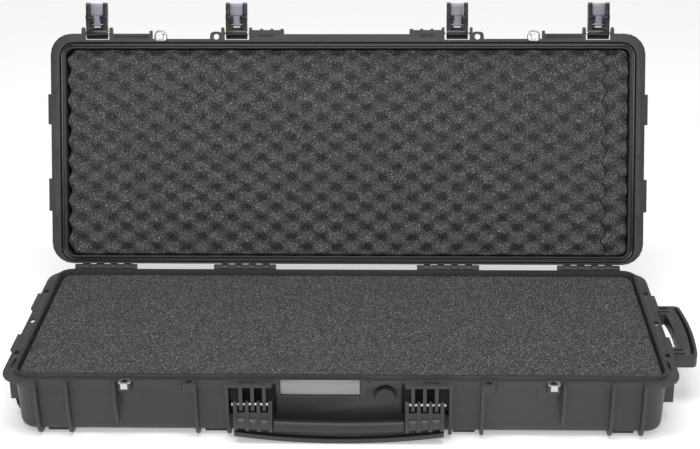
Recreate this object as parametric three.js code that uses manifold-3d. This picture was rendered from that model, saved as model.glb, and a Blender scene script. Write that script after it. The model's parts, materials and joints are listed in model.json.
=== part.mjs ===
// Long wheeled hard equipment case: ribbed base and lid shells, foam lining, four latches,
// a front carrying handle, a tow handle at one end and two wheels at the other.
// Units are millimetres. +Z is up, +X runs along the length towards the tow handle, and the
// front with the latches faces -Y. The origin is on the floor under the middle of the base.
// The lid is shown open: its parts are drawn closed, then turned about the hinge pins.

import * as THREE from 'three';
import { mergeVertices } from 'three/addons/utils/BufferGeometryUtils.js';
import Module from 'manifold-3d';

const wasm = await Module();
wasm.setup();

// ---------------------------------------------------------------- driving dimensions

// shells
const INSIDE_L = 948.6;        // inside length at the base rim
const INSIDE_W = 356;          // inside width at the base rim
const INSIDE_R = 18;           // inside corner radius at the rim
const BASE_H = 95;             // floor to the top of the base flange
const LID_H = 59.5;            // lid flange to the top of the lid ribs
const SEAL_GAP = 2.5;          // between the two flanges when shut
const OPEN_DEG = 109.6;        // how far the lid opens
const WALL = 4.5;              // wall of both shells
const FLOOR_T = 4.5;           // base floor and lid top
const RUNNER_H = 5;            // runners and ribs under the base and on the lid
const DRAFT = 3;               // how far each wall leans in
const BOTTOM_R = 14;           // round between the base's walls and floor
const FLANGE_T = 3.5;          // flange plates
const SIDE_FLANGE = 15.2;      // flange outside the tongue at the ends
const CORNER_FLANGE = 14.6;    // flange in front of the tongue at the corners
const BACK_RIM = 3.5;          // rim behind the tongue
const LEDGE = 6;               // ledge in front of the tongue
const BAND_H = 12.6;           // band under the ledge, whose lower edge the latches hook
const FLANGE_R = 35;           // outer corner radius of the flange

// seal
const TONGUE_T = 5;            // tongue on the base rim
const TONGUE_H = 5.5;
const GROOVE_PLAY = 0.7;       // tongue to the outer wall of the lid groove
const LIP_PLAY = 2.3;          // tongue to the lid lip
const LIP_T = 2.2;             // lid lip
const GROOVE_DEPTH = 9.5;
const GASKET_T = 5.2;
const SEAT_PLAY = 0.3;         // gap between pieces that rest on each other

// hinges
const HINGE_X = [-404, -170, 170, 404];
const HINGE_L = 104;           // one hinge
const KNUCKLES = 9;            // knuckles in one hinge, the odd ones on the base
const KNUCKLE_R = 6;
const KNUCKLE_PLAY = 0.4;      // between neighbouring knuckles
const HINGE_OUT = 6.8;         // rim to the hinge axis
const HINGE_UP = 3.4;          // base flange to the hinge axis
const HINGE_PIN_R = 2;
const PIN_PLAY = 0.3;          // radial play round every pin

// ribs and padlock eyes
const RIB_T = 5;
const RIB_OUT = 15;            // rib in front of the base wall, at the top
const SHORT_RIB_X = 326;
const SHORT_RIB_END = 22;      // height of its lower end
const EYE_X = 310;             // eyes with a steel plate
const PLAIN_EYE_X = 217;       // eyes without
const EYE_W = 21;
const EYE_OUT = 18;            // eye in front of the tongue
const EYE_R = 4.8;
const LID_RIB_OUT = 19.5;      // lug of the lid's flange over each short rib
const PLATE_T = 1.2;           // steel plate round an eye
const PLATE_SUNK = 0.6;        // its seat below the flange face

// latches
const LATCH_X = [-417, -183.5, 183.5, 417];
const LATCH_W = 35.5;
const BAY_OUT = 24.75;         // latch centre to the rib on its outer side
const BAY_IN = 21.25;          // latch centre to the rib on its inner side
const LATCH_OUT = 16;          // latch axis in front of the tongue
const LATCH_UP = 10;           // latch axis above the base flange
const LATCH_ROOT_R = 7.4;
const LATCH_REACH = 50.5;      // latch axis to its tips
const LATCH_PIN_R = 2;
const LUG_T = 4.5;             // guard lug beside a latch
const LUG_PLAY = 3.3;          // latch to lug
const LUG_R = 9.4;             // round end of a lug
const HOOK_PLAY = 0.5;         // hook to the lower edge of the band
const HOOK_IN = 1.5;           // how far the hook reaches under the band
const HEEL_OUT = 10.2;         // heel behind the latch axis
const ARM_W = 7;
const LEVER_PIVOT = 14.5;      // latch axis to lever axis
const LEVER_PIN_R = 1.5;
const LEVER_PLATE_START = 27.5;
const LEVER_PLATE_END = 48;
const LEVER_NECK_W = 10.5;
const LEVER_PLAY = 0.5;

// front handle
const HANDLE_PIN_Z = 63;
const HANDLE_PIN_OUT = 18;     // handle axis in front of the tongue
const HANDLE_PIN_R = 2.5;
const HANDLE_REACH = 61.8;     // handle axis to its outer edge, in the middle
const HANDLE_BOW = 11.3;       // how much less it reaches at its ends
const HANDLE_FINGER_X = [99, 116, 133, 150];
const HANDLE_FINGER_W = 5.5;
const HANDLE_T = 12;           // thickness of fingers and rim
const HANDLE_RIM = 7;
const GRIP_TOP = 27.3;         // handle axis to the top of the grip, in the middle
const GRIP_H = 18.5;
const GRIP_T = 20;
const GRIP_BOW = 6;
const GRIP_SKIN = 3;           // soft sleeve on the grip
const FINGER_PROUD = 1.2;      // fingers in front of the grip they lie over
const BRACKET_FINGER_W = 5.2;
const BRACKET_OUT = 22;        // bracket plate in front of the tongue
const POCKET_DEPTH = 4;        // sunk into the front wall behind the fingers, at the top
const POCKET_DEEP = 12;        // and lower down, where the wall is boxed in
const POCKET_BOX_TOP = 86;     // top of that box, below the foam's upper face
const POCKET_WALL = 3.5;

// tow handle
const TOW_HALF = 86;
const TOW_TOP = 83;            // height of its upper face
const TOW_T = 19;
const TOW_REACH = 542.5 - 479.3;   // tongue to its outer edge, in the middle
const TOW_BOW = 6.5;
const TOW_CORNER_R = 9;
const TOW_PIN_OUT = 9.2;       // its axis outside the tongue
const TOW_PIN_R = 2.5;
const TOW_ARM = 30;            // width of one arm
const TOW_SLOT_Y = [65, 77.2];
const TOW_SLOT_W = 4.4;
const TOW_FINGER_W = 3.4;
const TOW_RIM = 5;
const TOW_GROOVE = 5;
const TOW_GRIP = 18;

// wheels
const WHEEL_R = 27.4;
const WHEEL_W = 21.5;
const WHEEL_END_PLAY = 1.8;    // wheel to the outer wall of its housing
const WHEEL_Y = 120;           // middle of the wheel from the middle of the case
const WHEEL_LIFT = 0.3;        // off the floor while the case lies on its runners
const WHEEL_PLAY = 2;
const TYRE_T = 5;
const AXLE_R = 3;
const WELL_WALL = 3;

// nameplate and valve
const PLATE_X = [-84.5, 30.5];
const PLATE_Z = [73, 96.9];
const NAMEPLATE_T = 1.8;
const NAMEPLATE_GAP = 1;       // round its edges
const FRAME_RIM = 7;
const VALVE_X = 67.5;
const VALVE_Z = 71;
const VALVE_R = 15;
const KNOB_GROOVES = 12;       // finger grooves round the knob
const KNOB_GROOVE_R = 1.7;
const STEM_R = 6;

// foam
const FOAM_SPLIT = 66;         // height of the joint between the two base layers
const FOAM_TOP = 93.2;
const FOAM_PLAY = 1.5;
const LID_FOAM_T = 46.5;
const LID_SEAM_X = 430;        // joint between the two lid pieces

// flange holes, pegs and slots
const PEG_Y = [-106.4, 0, 106.4];
const PEG_HOLE = [7.6, 13];
const PEG_SIZE = [5.6, 10.6];
const PEG_H = 3.2;
const SLOT_DEPTH = 2.2;        // blind slots in the face of the lid's flange
const TAB_OUT = 4.8;           // tabs beyond the side flange
const TAB_Y = [[-97, -46.5], [44, 98.5]];

// ---------------------------------------------------------------- derived places

const FZ = BASE_H;                                 // base flange face
const LZ = BASE_H + SEAL_GAP;                      // lid flange face, lid shut
const TX = INSIDE_L / 2 + TONGUE_T;                // outside of the tongue
const TY = INSIDE_W / 2 + TONGUE_T;
const TONGUE_R = INSIDE_R + TONGUE_T;
const FLANGE_X = TX + SIDE_FLANGE;
const FLANGE_Y = TY + CORNER_FLANGE;
const BACK_Y = TY + BACK_RIM;
const BAND_Y = TY + LEDGE;
const BAND_Z = FZ - BAND_H;
const TUB_X = TX - 2;                              // outside of the base walls at the top
const TUB_Y = TY + 2.5;
const TUB_R = TONGUE_R + 3;
const CAVITY_Z = RUNNER_H + FLOOR_T;
const HINGE_Y = BACK_Y + HINGE_OUT;
const HINGE_Z = FZ + HINGE_UP;
const LATCH_Y = -(TY + LATCH_OUT);
const LATCH_Z = FZ + LATCH_UP;
const HANDLE_Y = -(TY + HANDLE_PIN_OUT);
const LID_TOP = LZ + LID_H;
const TOW_AXIS_X = TX + TOW_PIN_OUT;
const TOW_MID = TX + TOW_REACH;
const TOW_AXIS_Z = TOW_TOP - TOW_T / 2;
const WHEEL_X = -(FLANGE_X - WELL_WALL - WHEEL_END_PLAY - WHEEL_R);
const WHEEL_Z = WHEEL_R + WHEEL_LIFT;
const BRACKET_Y = -(TY + BRACKET_OUT);
const BRACKET_X = [HANDLE_FINGER_X[0] - HANDLE_FINGER_W / 2, LATCH_X[2] - BAY_IN + RIB_T / 2];
const RIB_X = [LATCH_X[3] + BAY_OUT, LATCH_X[3] - BAY_IN, LATCH_X[2] + BAY_OUT, LATCH_X[2] - BAY_IN];
const SIDES = [-1, 1];

// ---------------------------------------------------------------- solids

function solid(geometry) {
  const bare = geometry.index ? geometry.toNonIndexed() : geometry.clone();
  bare.deleteAttribute('normal');
  bare.deleteAttribute('uv');
  const merged = mergeVertices(bare, 1e-4);
  return new wasm.Manifold(new wasm.Mesh({
    numProp: 3,
    vertProperties: new Float32Array(merged.attributes.position.array),
    triVerts: new Uint32Array(merged.index.array),
  }));
}

function box(x0, x1, y0, y1, z0, z1) {
  const geometry = new THREE.BoxGeometry(x1 - x0, y1 - y0, z1 - z0);
  return solid(geometry.translate((x0 + x1) / 2, (y0 + y1) / 2, (z0 + z1) / 2));
}

function shapeOf(points) {
  return new THREE.Shape(points.map(([a, b]) => new THREE.Vector2(a, b)));
}

function extrude(shape, depth) {
  return new THREE.ExtrudeGeometry(shape, { depth, bevelEnabled: false, curveSegments: 4 });
}

// outline in X and Y, between two heights
function prismZ(shape, z0, z1) {
  return solid(extrude(shape, z1 - z0).translate(0, 0, z0));
}

// outline in Y and Z, between two lengths
function prismX(points, x0, x1) {
  const turn = new THREE.Matrix4().set(0, 0, 1, x0, 1, 0, 0, 0, 0, 1, 0, 0, 0, 0, 0, 1);
  return solid(extrude(shapeOf(points), x1 - x0).applyMatrix4(turn));
}

// outline in X and Z, between two depths
function prismY(points, y0, y1) {
  const turn = new THREE.Matrix4().set(1, 0, 0, 0, 0, 0, -1, y1, 0, 1, 0, 0, 0, 0, 0, 1);
  return solid(extrude(shapeOf(points), y1 - y0).applyMatrix4(turn));
}

function rod(axis, r, from, to, a, b, sides = 12) {
  const geometry = new THREE.CylinderGeometry(r, r, to - from, sides);
  const mid = (from + to) / 2;
  if (axis === 'x') return solid(geometry.rotateZ(Math.PI / 2).translate(mid, a, b));
  if (axis === 'y') return solid(geometry.translate(a, mid, b));
  return solid(geometry.rotateX(Math.PI / 2).translate(a, b, mid));
}

// a rod whose flats, not its edges, lie at the radius, so that it clears a pin by all its play
function bore(axis, r, from, to, a, b, sides = 8) {
  return rod(axis, r / Math.cos(Math.PI / sides), from, to, a, b, sides);
}

// a rectangle with round corners, as a closed list of [x, y]
function roundRect(x0, x1, y0, y1, r, steps = 4) {
  const points = [];
  const corners = [[x1 - r, y0 + r, -90], [x1 - r, y1 - r, 0], [x0 + r, y1 - r, 90], [x0 + r, y0 + r, 180]];
  for (const [cx, cy, start] of corners) {
    for (let i = 0; i <= steps; i += 1) {
      const angle = THREE.MathUtils.degToRad(start + (90 * i) / steps);
      points.push([cx + r * Math.cos(angle), cy + r * Math.sin(angle)]);
    }
  }
  return points;
}

function centredRect(hx, hy, r, steps) {
  return roundRect(-hx, hx, -hy, hy, r, steps);
}

// a closed body through rings of [x, y, z] that all have the same number of points
function loft(rings) {
  const count = rings[0].length;
  const position = [];
  const corner = (ring, i) => position.push(...rings[ring][i % count]);
  for (let k = 0; k + 1 < rings.length; k += 1) {
    for (let i = 0; i < count; i += 1) {
      corner(k, i); corner(k, i + 1); corner(k + 1, i + 1);
      corner(k, i); corner(k + 1, i + 1); corner(k + 1, i);
    }
  }
  const last = rings.length - 1;
  for (let i = 1; i + 1 < count; i += 1) {
    corner(0, 0); corner(0, i + 1); corner(0, i);
    corner(last, 0); corner(last, i); corner(last, i + 1);
  }
  const geometry = new THREE.BufferGeometry();
  geometry.setAttribute('position', new THREE.Float32BufferAttribute(position, 3));
  return solid(geometry);
}

// a body whose outline at each height is a round-cornered rectangle: [z, hx, hy, r]
function shellLoft(levels) {
  return loft(levels.map(([z, hx, hy, r]) => centredRect(hx, hy, r).map(([x, y]) => [x, y, z])));
}

function join(...parts) {
  return parts.flat().reduce((whole, part) => whole.add(part));
}

function cut(whole, ...tools) {
  return tools.flat().reduce((rest, tool) => rest.subtract(tool), whole);
}

function material(color, roughness, metalness = 0) {
  return new THREE.MeshStandardMaterial({ color, roughness, metalness });
}

function mesh(name, body, look) {
  const { numProp, vertProperties, triVerts } = body.getMesh();
  const position = new Float32Array((vertProperties.length / numProp) * 3);
  for (let i = 0; i < position.length / 3; i += 1) {
    for (let k = 0; k < 3; k += 1) position[3 * i + k] = vertProperties[numProp * i + k];
  }
  const geometry = new THREE.BufferGeometry();
  geometry.setAttribute('position', new THREE.BufferAttribute(position, 3));
  geometry.setIndex(new THREE.BufferAttribute(new Uint32Array(triVerts), 1));
  geometry.computeVertexNormals();
  const piece = new THREE.Mesh(geometry, look);
  piece.name = name;
  return piece;
}

// how far a bowed edge lies at a place along it, from its middle to its ends
function bowed(middle, bow, along, half) {
  return middle - bow * (along / half) ** 2;
}

function steps(from, to, count) {
  return Array.from({ length: count + 1 }, (_, i) => from + ((to - from) * i) / count);
}

const plasticLook = material(0x3f4042, 0.62);
const darkLook = material(0x232325, 0.5);
const foamLook = material(0x47474a, 0.95);
const sealLook = material(0x0c0c0d, 0.25);
const steelLook = material(0xc9cacc, 0.28, 1);
const leverLook = material(0x8b8b98, 0.45);
const plateLook = material(0xa3a4a6, 0.4, 0.6);
const gripLook = material(0x363638, 0.75);

// ---------------------------------------------------------------- base shell

function tubBody() {
  const levels = [];
  for (const t of steps(0, 90, 3)) {
    const angle = THREE.MathUtils.degToRad(t);
    const inset = DRAFT + BOTTOM_R * (1 - Math.sin(angle));
    const z = RUNNER_H + BOTTOM_R * (1 - Math.cos(angle));
    levels.push([z, TUB_X - inset, TUB_Y - inset, Math.max(TUB_R - inset, 4)]);
  }
  levels.push([FZ, TUB_X, TUB_Y, TUB_R]);
  return shellLoft(levels);
}

function tubCavity() {
  const hx = TUB_X - WALL;
  const hy = TUB_Y - WALL;
  const r = TUB_R - WALL;
  const top = FZ + TONGUE_H + 1;
  return shellLoft([
    [CAVITY_Z, hx - DRAFT - 3, hy - DRAFT - 3, r - DRAFT - 1],
    [CAVITY_Z + 4, hx - DRAFT, hy - DRAFT, r - DRAFT],
    [BAND_Z, hx, hy, r],
    [BAND_Z + WALL, INSIDE_L / 2, INSIDE_W / 2, INSIDE_R],
    [top, INSIDE_L / 2, INSIDE_W / 2, INSIDE_R],
  ]);
}

// flange plate outline: full at the ends and corners, cut back to the band along the front
function flangePlate(z0, z1, frontParts) {
  const outline = roundRect(-FLANGE_X, FLANGE_X, -FLANGE_Y, BACK_Y, FLANGE_R, 5);
  const cornerX = RIB_X[0];
  const plate = cut(
    prismZ(shapeOf(outline), z0, z1),
    box(-cornerX, cornerX, -FLANGE_Y - 1, -BAND_Y, z0 - 1, z1 + 1),
  );
  const tabs = SIDES.flatMap((side) => TAB_Y.map(([y0, y1]) => {
    const xs = [side * (FLANGE_X - 2), side * (FLANGE_X + TAB_OUT)].sort((a, b) => a - b);
    return box(xs[0], xs[1], y0, y1, z0, z1);
  }));
  return join(plate, tabs, frontParts);
}

function eyeEar(x, z0, z1) {
  const y = -(TY + EYE_OUT);
  return prismZ(shapeOf(roundRect(x - EYE_W / 2, x + EYE_W / 2, y, -TY, 6, 2)), z0, z1);
}

function eyePlaces() {
  return SIDES.flatMap((side) => [side * EYE_X, side * PLAIN_EYE_X]);
}

const EYE_Y = -(TY + EYE_OUT / 2 + 0.5);

// vertical rib with a profile that wraps under the floor
function fullRib(x, front, back) {
  const wall = TUB_Y - DRAFT;
  const profile = [
    [-wall + 20, FZ - 1], [-front, FZ - 1], [-front + 1, FZ * 0.55], [-front + 7, 16],
    [-wall - 3, 4.5], [-wall + 7, 1], [wall - 7, 1], [back - 1, 14], [back, 30],
    [back, BAND_Z], [wall - 20, BAND_Z],
  ];
  return prismX(profile, x - RIB_T / 2, x + RIB_T / 2);
}

function shortRib(x) {
  const wall = TUB_Y - DRAFT;
  const front = TUB_Y + RIB_OUT - 1;
  return prismX([
    [-wall + 4, FZ - 1], [-front, FZ - 1], [-front + 1, FZ * 0.6], [-wall - 5, SHORT_RIB_END],
    [-wall + 4, SHORT_RIB_END],
  ], x - RIB_T / 2, x + RIB_T / 2);
}

function bracketFingerX() {
  const [a, b, c, d] = HANDLE_FINGER_X;
  return [(a + b) / 2, (b + c) / 2, (c + d) / 2];
}

// the three fixed fingers and the plate over them, on one side
function handleBracket(side) {
  const [x0, x1] = BRACKET_X.map((x) => side * x).sort((a, b) => a - b);
  const plate = box(x0, x1, BRACKET_Y, -TY, FZ - FLANGE_T, FZ);
  const wall = TUB_Y - 3;
  const end = HANDLE_PIN_Z - 10.8;
  const fingers = bracketFingerX().map((x) => prismX([
    [-wall, FZ - 1], [BRACKET_Y - 1.2, FZ], [BRACKET_Y - 1.2, FZ - FLANGE_T - 1],
    [HANDLE_Y - 5.5, HANDLE_PIN_Z + 14], [HANDLE_Y - 5.5, end + 3], [HANDLE_Y - 2, end],
    [-wall, end],
  ], side * x - BRACKET_FINGER_W / 2, side * x + BRACKET_FINGER_W / 2));
  return [plate, ...fingers];
}

const POCKET_Z = HANDLE_PIN_Z - 26;

function pocketX(side) {
  return [BRACKET_X[0] - 5, RIB_X[3] - RIB_T / 2].map((x) => side * x).sort((a, b) => a - b);
}

function handlePocket(side) {
  const [x0, x1] = pocketX(side);
  const y = -TUB_Y - 8;
  const deep = -TUB_Y + POCKET_DEEP;
  const pocket = join(
    box(x0, x1, y, -TUB_Y + POCKET_DEPTH, POCKET_Z, FZ - FLANGE_T),
    box(x0, x1, y, deep, POCKET_Z, POCKET_BOX_TOP - POCKET_WALL),
  );
  const fingers = bracketFingerX().map((x) => box(
    side * x - BRACKET_FINGER_W / 2, side * x + BRACKET_FINGER_W / 2,
    y - 1, deep + 1, HANDLE_PIN_Z - 10.8, FZ,
  ));
  return cut(pocket, fingers);
}

// the box that closes a pocket on the inside of the wall, grown by a play for what clears it
function pocketBox(side, play) {
  const [x0, x1] = pocketX(side);
  const grow = POCKET_WALL + play;
  return box(
    x0 - grow, x1 + grow, -TUB_Y + 1.5, -TUB_Y + POCKET_DEEP + grow, POCKET_Z - grow, POCKET_BOX_TOP + play,
  );
}

// the wheel's open housing, seen from the end as a bumper under the flange
function fender(side) {
  const y = side * WHEEL_Y;
  const half = WHEEL_W / 2 + WHEEL_PLAY + WELL_WALL;
  return { y0: y - half, y1: y + half };
}

function endBumpers() {
  return SIDES.flatMap((end) => SIDES.map((side) => {
    const { y0, y1 } = fender(side);
    const xs = [end * (TUB_X - DRAFT - 1), end * FLANGE_X].sort((a, b) => a - b);
    return box(xs[0], xs[1], y0, y1, WHEEL_Z + 5, FZ - 1);
  }));
}

// bumper ribs under the four tabs; at the tow handle's end only those outside the hand's gap
function tabRibs() {
  const ribY = (end) => TAB_Y.flatMap(([y0, y1]) => [y0 + 2.5, y1 - 2.5])
    .filter((y) => end < 0 || Math.abs(y) > TOW_HALF);
  return SIDES.flatMap((end) => ribY(end).map((y) => {
    const x = FLANGE_X + TAB_OUT - 1;
    const wall = TUB_X - DRAFT - 1;
    const profile = [[wall, FZ - 1], [x, FZ - 1], [x - 2, FZ - 22], [wall, FZ - 34]];
    return prismY(profile.map(([a, b]) => [end * a, b]), y - 2.5, y + 2.5);
  }));
}

function wellBlock(side) {
  const { y0, y1 } = fender(side);
  const top = WHEEL_Z + WHEEL_R + WHEEL_PLAY + WELL_WALL;
  const inner = WHEEL_X + WHEEL_R + WHEEL_PLAY + WELL_WALL;
  return { x1: inner, y0, y1, top };
}

function wheelWell(side) {
  const { x1, y0, y1, top } = wellBlock(side);
  return box(
    -FLANGE_X + WELL_WALL, x1 - WELL_WALL, y0 + WELL_WALL, y1 - WELL_WALL, -1, top - WELL_WALL,
  );
}

// fixed fingers that hold the tow handle's pins
function towFingers() {
  const wall = TUB_X - DRAFT - 1;
  const r = 6.6;
  return SIDES.flatMap((side) => TOW_SLOT_Y.map((y) => prismY([
    [wall, TOW_AXIS_Z - 12], [TOW_AXIS_X - 2, TOW_AXIS_Z - r], [TOW_AXIS_X + r * 0.7, TOW_AXIS_Z - r * 0.7],
    [TOW_AXIS_X + r, TOW_AXIS_Z], [TOW_AXIS_X + r * 0.7, TOW_AXIS_Z + r * 0.7],
    [TOW_AXIS_X - 2, TOW_AXIS_Z + r], [wall, TOW_AXIS_Z + 12],
  ], side * y - TOW_FINGER_W / 2, side * y + TOW_FINGER_W / 2)));
}

// one hinge's knuckles: the base takes the even places counted from 0, the lid the odd ones
function knuckles(onBase) {
  const up = onBase ? -1 : 1;
  const pitch = HINGE_L / KNUCKLES;
  const at = (y, z) => [HINGE_Y + y, HINGE_Z + up * z];
  const root = BACK_Y - HINGE_Y - 1.5;
  const barrel = steps(-30, 210, 6).map((deg) => {
    const angle = THREE.MathUtils.degToRad(deg);
    return at(KNUCKLE_R * Math.cos(angle), -KNUCKLE_R * Math.sin(angle));
  });
  const outline = [at(root, 20), ...barrel, at(root, HINGE_UP)];
  const bodies = [];
  for (const centre of HINGE_X) {
    for (let i = onBase ? 0 : 1; i < KNUCKLES; i += 2) {
      const x0 = centre - HINGE_L / 2 + i * pitch + KNUCKLE_PLAY / 2;
      bodies.push(prismX(outline, x0, x0 + pitch - KNUCKLE_PLAY));
    }
  }
  return bodies;
}

function hingeBores() {
  return HINGE_X.map((x) => bore(
    'x', HINGE_PIN_R + PIN_PLAY, x - HINGE_L / 2 - 1, x + HINGE_L / 2 + 1, HINGE_Y, HINGE_Z, 6,
  ));
}

function runners() {
  const xs = SIDES.flatMap((side) => [
    [side * LATCH_X[3], BAY_OUT], [side * LATCH_X[2], BAY_OUT],
  ]);
  const long = TUB_Y - DRAFT - BOTTOM_R + 2;
  return [
    ...xs.map(([x, w]) => box(x - w * 0.65, x + w * 0.65, -long, long, 0, CAVITY_Z - 1)),
    box(-24, 24, -70, 70, 0, CAVITY_Z - 1),
  ];
}

function nameplateFrame() {
  const [x0, x1] = PLATE_X;
  const low = PLATE_Z[0] - 3.5;
  const out = x0 - FRAME_RIM;
  const far = x1 + FRAME_RIM;
  return prismY([
    [out - 8, BAND_Z + 3], [out, BAND_Z - 3], [out, low + 4], [out + 5, low], [far - 5, low],
    [far, low + 4], [far, BAND_Z - 3], [far + 8, BAND_Z + 3], [far + 8, FZ - 3], [far, PLATE_Z[1]],
    [out, PLATE_Z[1]], [out - 8, FZ - 3],
  ], -BAND_Y - 2.6, -TY - 0.2);
}

function flangeHoles() {
  const x = FLANGE_X - SIDE_FLANGE / 2 - 0.2;
  const [w, l] = PEG_HOLE;
  const z0 = FZ - FLANGE_T - 3;
  const z1 = FZ + 1;
  const holes = SIDES.flatMap((side) => PEG_Y.map((y) => prismZ(shapeOf(
    roundRect(side * x - w / 2, side * x + w / 2, y - l / 2, y + l / 2, w / 2 - 0.1, 2),
  ), z0, z1)));
  const slots = SIDES.map((side) => {
    const xs = [side * (TX + 1.6), side * (TX + 6.6)].sort((a, b) => a - b);
    return box(xs[0], xs[1], -(TY - 29), -(TY - 58), z0, z1);
  });
  return [...holes, ...slots];
}

function bracketSlots(z0, z1) {
  return SIDES.map((side) => {
    const xs = [side * 122, side * 145.5].sort((a, b) => a - b);
    return prismZ(shapeOf(roundRect(xs[0], xs[1], -TY - 12.8, -TY - 7.3, 2.4, 2)), z0, z1);
  });
}

function eyeHoles(z0, z1) {
  return eyePlaces().map((x) => rod('z', EYE_R, z0, z1, x, EYE_Y, 10));
}

function seatPockets(z0, z1) {
  const half = EYE_W / 2 - 0.7;
  return SIDES.map((side) => box(
    side * EYE_X - half, side * EYE_X + half, -(TY + EYE_OUT) - 1, -(TY + 2), z0, z1,
  ));
}

function baseShell() {
  const band = loft([BAND_Z, FZ].map((z) => roundRect(
    -TX - 1.5, TX + 1.5, -BAND_Y, BACK_Y, TONGUE_R + 3,
  ).map(([x, y]) => [x, y, z])));
  const tongue = shellLoft([[FZ - 1, TX, TY, TONGUE_R], [FZ + TONGUE_H, TX, TY, TONGUE_R]]);
  const ears = eyePlaces().map((x) => eyeEar(x, BAND_Z, FZ));
  const front = TUB_Y + RIB_OUT;
  const ribs = SIDES.flatMap((side) => RIB_X.map((x) => fullRib(side * x, front, TUB_Y + 4)));
  const shorts = SIDES.map((side) => shortRib(side * SHORT_RIB_X));
  const pads = SIDES.map((side) => box(
    side * 304 - 16, side * 304 + 16, -TUB_Y - 1, -TUB_Y + 3, BAND_Z - 22, BAND_Z + 2,
  ));
  const brackets = SIDES.flatMap((side) => handleBracket(side));
  let whole = join(
    tubBody(), band, tongue, flangePlate(FZ - FLANGE_T, FZ, []), ears, ribs, shorts, pads, brackets,
    endBumpers(), tabRibs(), towFingers(), runners(), nameplateFrame(), knuckles(true),
  );
  whole = cut(whole, tubCavity());
  whole = join(whole, SIDES.map((side) => {
    const { x1, y0, y1, top } = wellBlock(side);
    return box(-TUB_X + 4.2, x1, y0, y1, RUNNER_H + 1, top);
  }), SIDES.map((side) => pocketBox(side, 0)));
  const ridge = cut(
    shellLoft([[FZ + TONGUE_H - 1, TX - 1.8, TY - 1.8, TONGUE_R - 1.8],
      [FZ + TONGUE_H + 1, TX - 1.8, TY - 1.8, TONGUE_R - 1.8]]),
    shellLoft([[FZ, TX - 3.2, TY - 3.2, TONGUE_R - 3.2],
      [FZ + TONGUE_H + 2, TX - 3.2, TY - 3.2, TONGUE_R - 3.2]]),
  );
  const [px0, px1] = PLATE_X;
  const platePocket = box(
    px0 - NAMEPLATE_GAP, px1 + NAMEPLATE_GAP, -BAND_Y - 4, -BAND_Y - 0.8,
    PLATE_Z[0] - NAMEPLATE_GAP, FZ + 4,
  );
  const wellReach = WHEEL_W / 2 + WHEEL_PLAY + WELL_WALL - 0.6;
  return cut(
    whole, ridge, platePocket,
    SIDES.map((side) => wheelWell(side)),
    SIDES.map((side) => bore(
      'y', AXLE_R + PIN_PLAY, side * WHEEL_Y - wellReach, side * WHEEL_Y + wellReach, WHEEL_X, WHEEL_Z,
    )),
    SIDES.map((side) => handlePocket(side)),
    SIDES.map((side) => {
      const xs = [side * (BRACKET_X[0] - 2), side * (RIB_X[3] - RIB_T / 2)].sort((a, b) => a - b);
      return bore('x', HANDLE_PIN_R + PIN_PLAY, xs[0], xs[1], HANDLE_Y, HANDLE_PIN_Z, 6);
    }),
    rod('y', VALVE_R + 2.5, -BAND_Y - 4, -TUB_Y + 1.5, VALVE_X, VALVE_Z, 20),
    bore('y', STEM_R + PIN_PLAY, -BAND_Y, -TUB_Y + WALL + 6, VALVE_X, VALVE_Z, 12),
    SIDES.map((side) => {
      const ys = [side * (TOW_HALF + 1), side * (TOW_HALF - TOW_ARM)].sort((a, b) => a - b);
      return bore('y', TOW_PIN_R + PIN_PLAY, ys[0], ys[1], TOW_AXIS_X, TOW_AXIS_Z, 6);
    }),
    hingeBores(), flangeHoles(), bracketSlots(FZ - FLANGE_T - 1, FZ + 1),
    eyeHoles(FZ - FLANGE_T - 12, FZ + 1), seatPockets(FZ - PLATE_SUNK, FZ + 1),
  );
}

// ---------------------------------------------------------------- base fittings

function nameplate() {
  const [x0, x1] = PLATE_X;
  const y = -BAND_Y - 0.8 - SEAT_PLAY;
  const mid = y - NAMEPLATE_T;
  const [z0, z1] = PLATE_Z;
  return prismX([
    [y, z0], [y, z1], [mid + 0.9, z1], [mid, z1 - 2.4], [mid, z0 + 2.4], [mid + 0.9, z0],
  ], x0, x1);
}

function eyePlate(side, face, up) {
  const half = EYE_W / 2 - 1;
  const front = -(TY + EYE_OUT) - 0.6;
  const z = face - up * PLATE_SUNK + up * SEAT_PLAY;
  const [z0, z1] = [z, z + up * PLATE_T].sort((a, b) => a - b);
  const flat = prismZ(shapeOf(
    roundRect(side * EYE_X - half, side * EYE_X + half, front, -(TY + 2.4), 4, 3),
  ), z0, z1);
  const drop = [z + up * PLATE_T, z - up * 8].sort((a, b) => a - b);
  const tab = box(side * EYE_X - 5, side * EYE_X + 5, front - PLATE_T, front + 0.3, drop[0], drop[1]);
  return cut(join(flat, tab), rod('z', EYE_R - 0.4, z0 - 1, z1 + 1, side * EYE_X, EYE_Y, 12));
}

const VALVE_SEAT = -TUB_Y + 1.5;

function valveBody() {
  return join(
    rod('y', VALVE_R, VALVE_SEAT - 4.3, VALVE_SEAT - 1.3, VALVE_X, VALVE_Z, 20),
    rod('y', STEM_R, VALVE_SEAT - 2, VALVE_SEAT + WALL + 6, VALVE_X, VALVE_Z, 12),
  );
}

function ringY(outer, inner, y0, y1, sides) {
  return cut(
    rod('y', outer, y0, y1, VALVE_X, VALVE_Z, sides),
    bore('y', inner, y0 - 1, y1 + 1, VALVE_X, VALVE_Z, 12),
  );
}

function valveKnob() {
  const y = VALVE_SEAT - 4.3 - SEAT_PLAY;
  const grooves = steps(0, 360, KNOB_GROOVES).slice(1).map((deg) => {
    const angle = THREE.MathUtils.degToRad(deg);
    return rod(
      'y', KNOB_GROOVE_R, y - 7, y - 1,
      VALVE_X + VALVE_R * Math.cos(angle), VALVE_Z + VALVE_R * Math.sin(angle), 6,
    );
  });
  return cut(rod('y', VALVE_R - 0.8, y - 5.5, y, VALVE_X, VALVE_Z, 24), grooves);
}

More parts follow.
